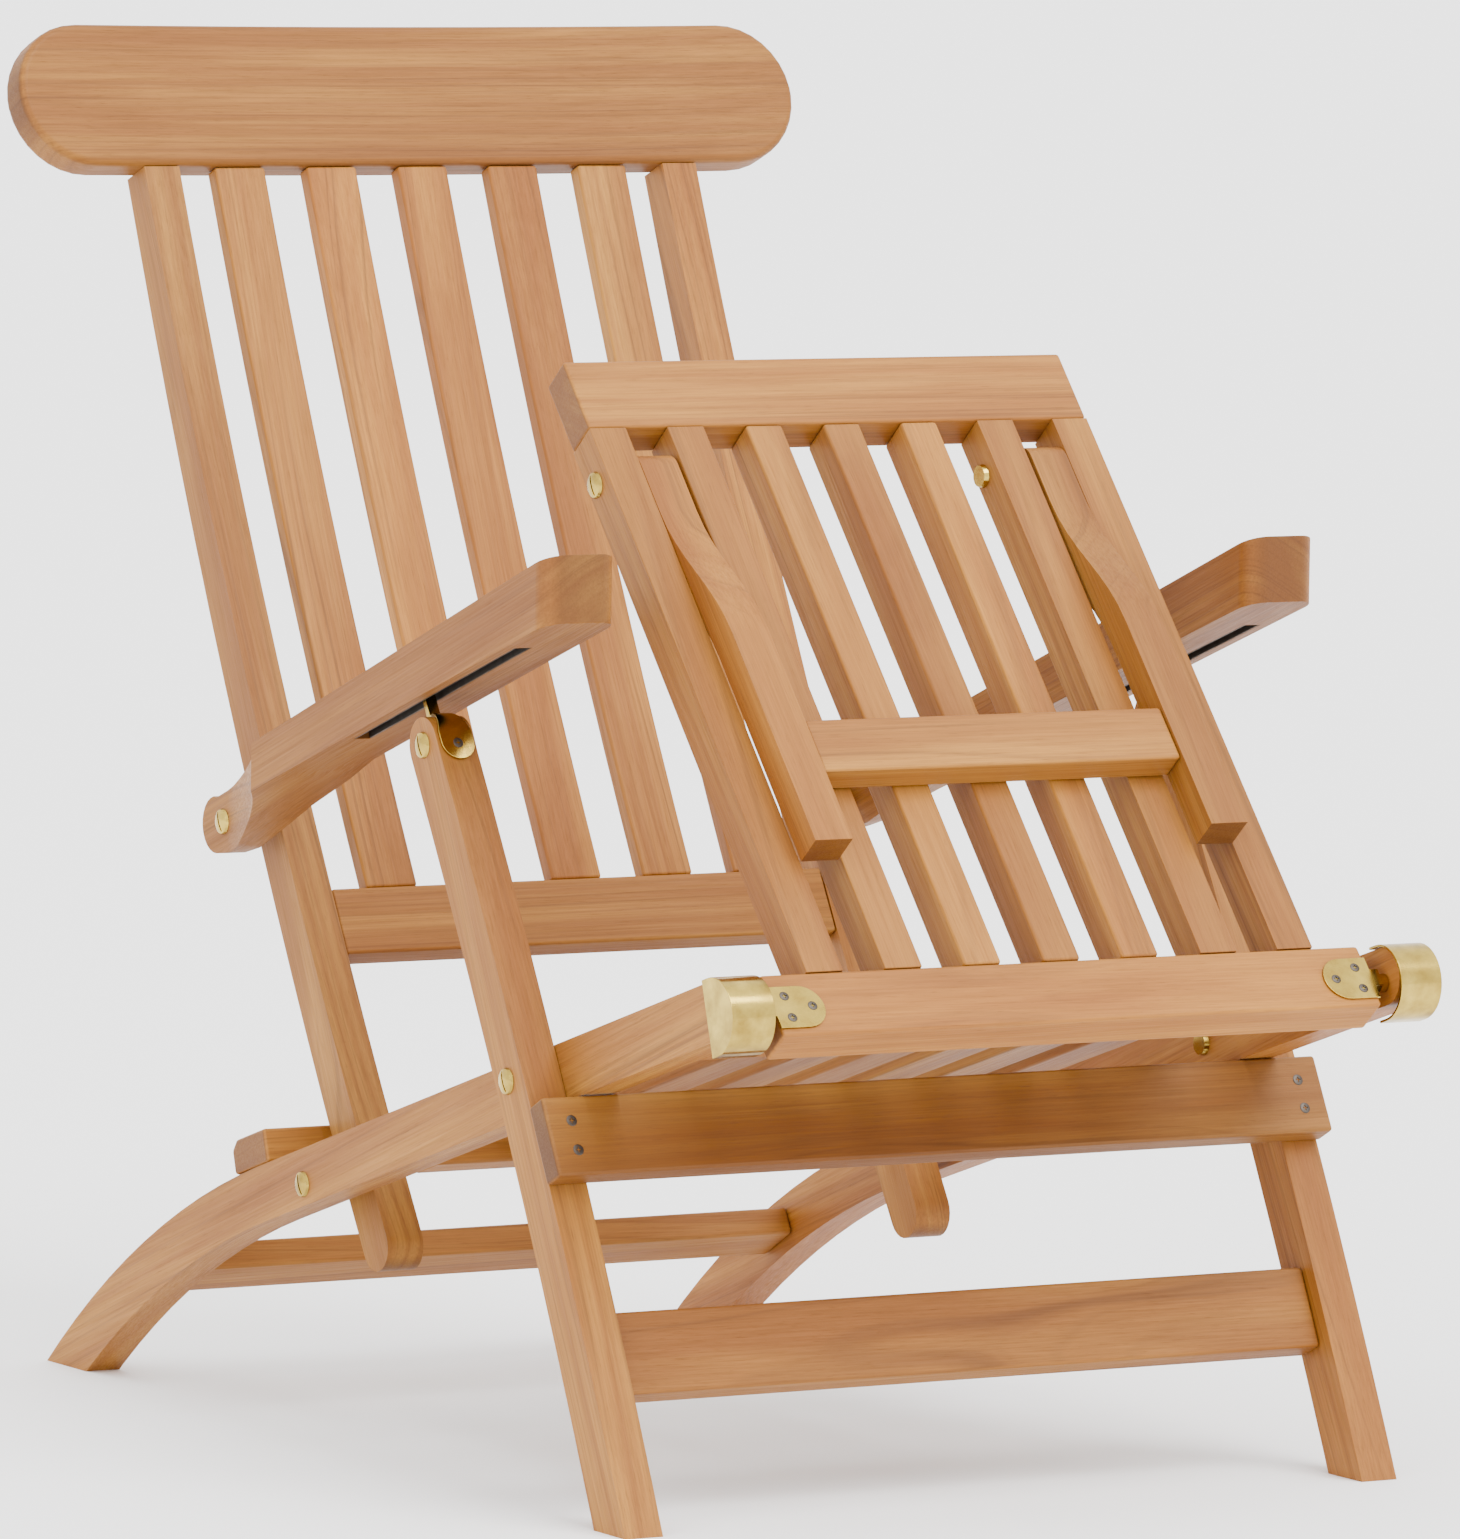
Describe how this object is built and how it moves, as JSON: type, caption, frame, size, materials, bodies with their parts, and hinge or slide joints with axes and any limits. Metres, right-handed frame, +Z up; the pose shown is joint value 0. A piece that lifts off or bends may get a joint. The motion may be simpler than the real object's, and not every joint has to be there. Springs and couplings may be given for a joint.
{
  "type": "folding deck chair",
  "caption": "Slatted teak steamer deck chair with brass hinges: reclining back, slotted arms, crossed folding frame and a hinged footrest folded back over the seat.",
  "frame": {"origin": "centre of the bounding box on the floor, under the seat", "axes": "+X to the sitter's left, +Y to the rear where the back leans, +Z up"},
  "size_m": [0.5908, 0.9158, 0.8935],
  "materials": {
    "teak": "oiled light teak, fine straight grain, softly rounded edges",
    "brass": "polished brass",
    "dark_steel": "darkened steel slot tracks and small screws"
  },
  "bodies": {
    "seat": {"side_rail_left": "teak", "side_rail_right": "teak", "rear_stretcher": "teak", "seat_front_rail": "teak", "seat_rear_rail": "teak", "seat_slat_1": "teak", "seat_slat_2": "teak", "seat_slat_3": "teak", "seat_slat_4": "teak", "seat_slat_5": "teak", "seat_slat_6": "teak", "seat_slat_7": "teak", "hinge_cup_left": "brass", "hinge_cup_right": "brass"},
    "front_legs": {"front_leg_left": "teak", "front_leg_right": "teak", "front_crossbar": "teak", "front_stretcher": "teak", "arm_bracket_left": "brass", "arm_bracket_right": "brass", "leg_pivot_bolt_left": "brass", "leg_pivot_bolt_right": "brass", "leg_top_bolt_left": "brass", "leg_top_bolt_right": "brass"},
    "back_pivots": {"back_pivot_bolt_left": "brass", "back_pivot_bolt_right": "brass"},
    "back": {"back_stile_left": "teak", "back_stile_right": "teak", "back_slat_1": "teak", "back_slat_2": "teak", "back_slat_3": "teak", "back_slat_4": "teak", "back_slat_5": "teak", "back_lower_rail": "teak", "headboard": "teak", "stop_bar": "teak"},
    "arm_pivots": {"arm_pivot_screw_left": "brass", "arm_pivot_screw_right": "brass"},
    "arm_left": {"arm_left": "teak", "arm_track_left": "dark_steel"},
    "arm_right": {"arm_right": "teak", "arm_track_right": "dark_steel"},
    "footrest_pins": {"hinge_pin_left": "brass", "hinge_pin_right": "brass"},
    "footrest": {"footrest_rear_rail": "teak", "footrest_top_rail": "teak", "footrest_side_left": "teak", "footrest_side_right": "teak", "footrest_slat_1": "teak", "footrest_slat_2": "teak", "footrest_slat_3": "teak", "footrest_slat_4": "teak", "footrest_slat_5": "teak", "hinge_plate_left": "brass", "hinge_plate_right": "brass"},
    "footrest_legs": {"footrest_leg_left": "teak", "footrest_leg_right": "teak", "footrest_leg_crossbar": "teak", "footrest_leg_bolt_left": "brass", "footrest_leg_bolt_right": "brass"}
  },
  "joints": [
    {"name": "frame_fold", "type": "hinge", "parent": "seat", "child": "front_legs", "pos_m": [0, -0.2292, 0.2623], "axis": [1, 0, 0], "range_deg": [0, 70]},
    {"name": "recline", "type": "hinge", "parent": "seat", "child": "back_pivots", "pos_m": [0, 0.0824, 0.1606], "axis": [1, 0, 0], "range_deg": [0, 8]},
    {"name": "back_fold", "type": "hinge", "parent": "back_pivots", "child": "back", "pos_m": [0, 0.0824, 0.1606], "axis": [1, 0, 0], "range_deg": [0, 70]},
    {"name": "arm_recline", "type": "hinge", "parent": "back", "child": "arm_pivots", "pos_m": [0, 0.2193, 0.3812], "axis": [1, 0, 0], "range_deg": [-7.6, 0]},
    {"name": "arm_left_fold", "type": "hinge", "parent": "arm_pivots", "child": "arm_left", "pos_m": [0, 0.2193, 0.3812], "axis": [1, 0, 0], "range_deg": [-77, 0]},
    {"name": "arm_right_fold", "type": "hinge", "parent": "arm_pivots", "child": "arm_right", "pos_m": [0, 0.2193, 0.3812], "axis": [1, 0, 0], "range_deg": [-77, 0]},
    {"name": "footrest_tip", "type": "hinge", "parent": "seat", "child": "footrest_pins", "pos_m": [0, -0.4338, 0.3221], "axis": [1, 0, 0], "range_deg": [0, 111.6]},
    {"name": "footrest_swing", "type": "hinge", "parent": "footrest_pins", "child": "footrest", "pos_m": [0, -0.4338, 0.3221], "axis": [-1, 0, 0], "range_deg": [-137, 0]},
    {"name": "footrest_legs_swing", "type": "hinge", "parent": "footrest", "child": "footrest_legs", "pos_m": [0, -0.15811, 0.62279], "axis": [1, 0, 0], "range_deg": [-111, 0]}
  ],
  "couplings": [
    {"joint": "back_fold", "follows": "frame_fold", "ratio": 1},
    {"joint": "arm_left_fold", "follows": "frame_fold", "ratio": -1.1},
    {"joint": "arm_right_fold", "follows": "frame_fold", "ratio": -1.1},
    {"joint": "footrest_tip", "follows": "frame_fold", "ratio": 1.5929},
    {"joint": "arm_recline", "follows": "recline", "ratio": -0.95}
  ]
}
